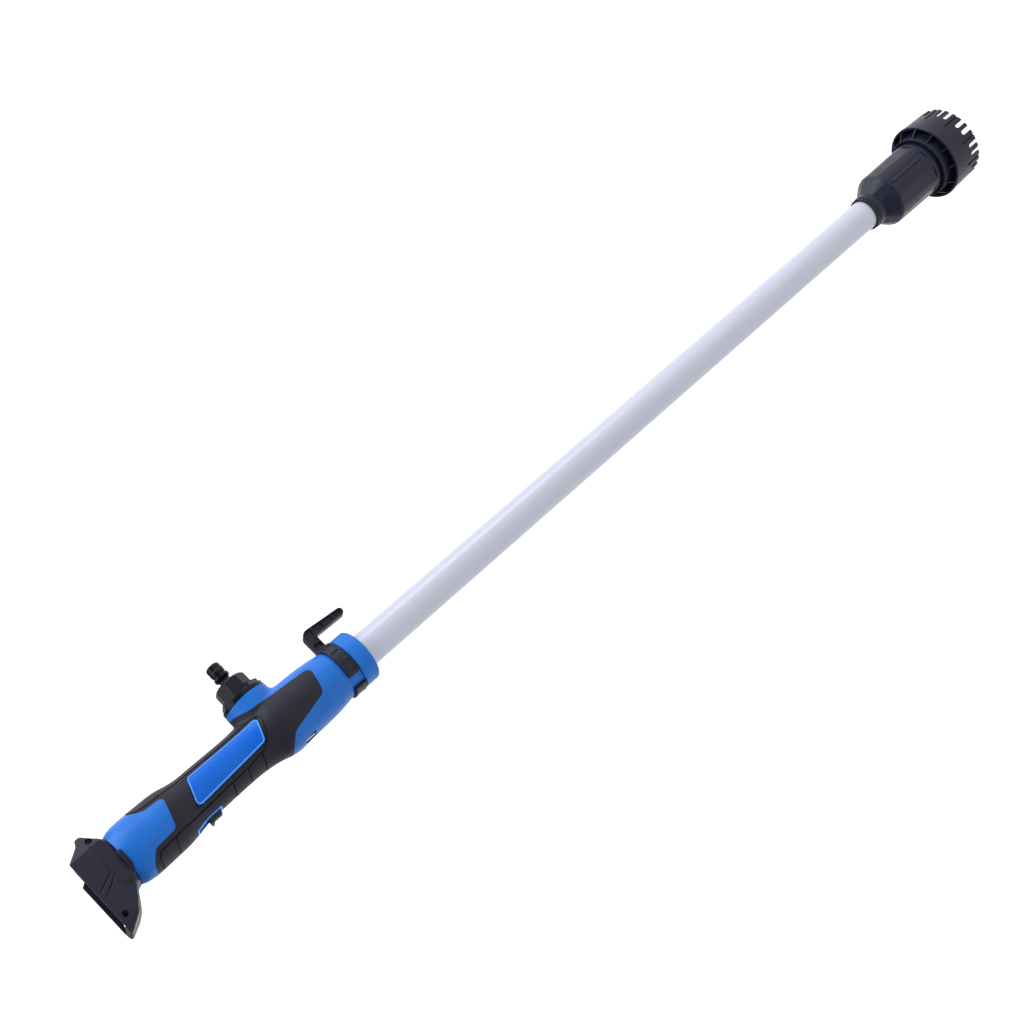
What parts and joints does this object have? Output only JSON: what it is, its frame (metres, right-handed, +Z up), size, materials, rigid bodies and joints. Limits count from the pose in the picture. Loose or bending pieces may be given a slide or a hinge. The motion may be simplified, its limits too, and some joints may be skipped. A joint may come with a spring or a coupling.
{
  "type": "cordless stick pump",
  "caption": "Cordless stick pump: battery foot, two-shell handle with slide switch, side hose outlet and hanging hook, long aluminium tube and castellated strainer head.",
  "frame": {"origin": "on the tube axis, in the plane that the strainer teeth and the suction foot stand on", "axes": "+Z up along the tube from the strainer to the battery foot; +X towards the hose outlet; the slide switch is on the -X side"},
  "size_m": [0.143, 0.0936, 1.302],
  "materials": {
    "blue_plastic": "moulded ABS, satin",
    "blue_panel": "moulded, satin with a paler bevel",
    "blue_bezel": "moulded, satin",
    "grip_rubber": "soft overmould, fine grain",
    "black_plastic": "moulded nylon, fine texture",
    "pump_plastic": "moulded nylon, satin",
    "gloss_black": "moulded, glossy",
    "aluminium": "satin anodised",
    "zinc_steel": "zinc plated",
    "black_oxide": "blackened steel",
    "copper": "copper",
    "ferrite": "ferrite",
    "seal_rubber": "nitrile",
    "hose_pvc": "clear PVC, modelled opaque",
    "cable_black": "PVC jacket",
    "board_green": "solder mask",
    "impeller_plastic": "acetal"
  },
  "bodies": {
    "frame": {"adapter_washer": "seal_rubber", "aluminium_tube": "aluminium", "battery_foot_left": "black_plastic", "battery_foot_right": "black_plastic", "battery_lead": "cable_black", "bearing_lower": "zinc_steel", "bearing_upper": "zinc_steel", "control_board": "board_green", "foot_screws": "black_oxide", "front_collar": "blue_plastic", "grip_overmould_left": "grip_rubber", "grip_overmould_right": "grip_rubber", "handle_screws": "zinc_steel", "handle_shell_left": "blue_plastic", "handle_shell_right": "blue_plastic", "hose_adapter": "gloss_black", "lanyard_pin": "zinc_steel", "lower_tube_bush": "seal_rubber", "motor_cable": "cable_black", "motor_can": "zinc_steel", "motor_carrier": "pump_plastic", "motor_magnets": "ferrite", "nipple_o_ring": "seal_rubber", "outlet_elbow": "gloss_black", "outlet_flange": "gloss_black", "pump_housing": "pump_plastic", "pump_screws": "zinc_steel", "riser_hose": "hose_pvc", "shaft_seal": "seal_rubber", "side_panel_left": "blue_panel", "side_panel_right": "blue_panel", "strainer_ring": "pump_plastic", "suction_cover": "pump_plastic", "switch_bezel": "blue_bezel", "switch_module": "black_plastic", "terminal_blades": "copper", "terminal_block": "black_plastic", "tube_end_ring": "black_plastic", "upper_tube_bush": "seal_rubber", "volute_casing": "pump_plastic"},
    "rotor": {"armature": "copper", "motor_shaft": "zinc_steel", "impeller": "impeller_plastic"},
    "hook": {"clip_hook": "black_plastic"},
    "switch_knob": {"slide_switch_knob": "black_plastic"}
  },
  "joints": [
    {"name": "motor_spin", "type": "hinge", "parent": "frame", "child": "rotor", "pos_m": [0, 0, 0.08], "axis": [0, 0, 1], "continuous": true},
    {"name": "hook_swivel", "type": "hinge", "parent": "frame", "child": "hook", "pos_m": [0, 0, 0.9935], "axis": [0, 0, 1], "continuous": true},
    {"name": "switch_slide", "type": "slide", "parent": "frame", "child": "switch_knob", "axis": [0, 0, 1], "range_m": [0, 0.008]}
  ]
}
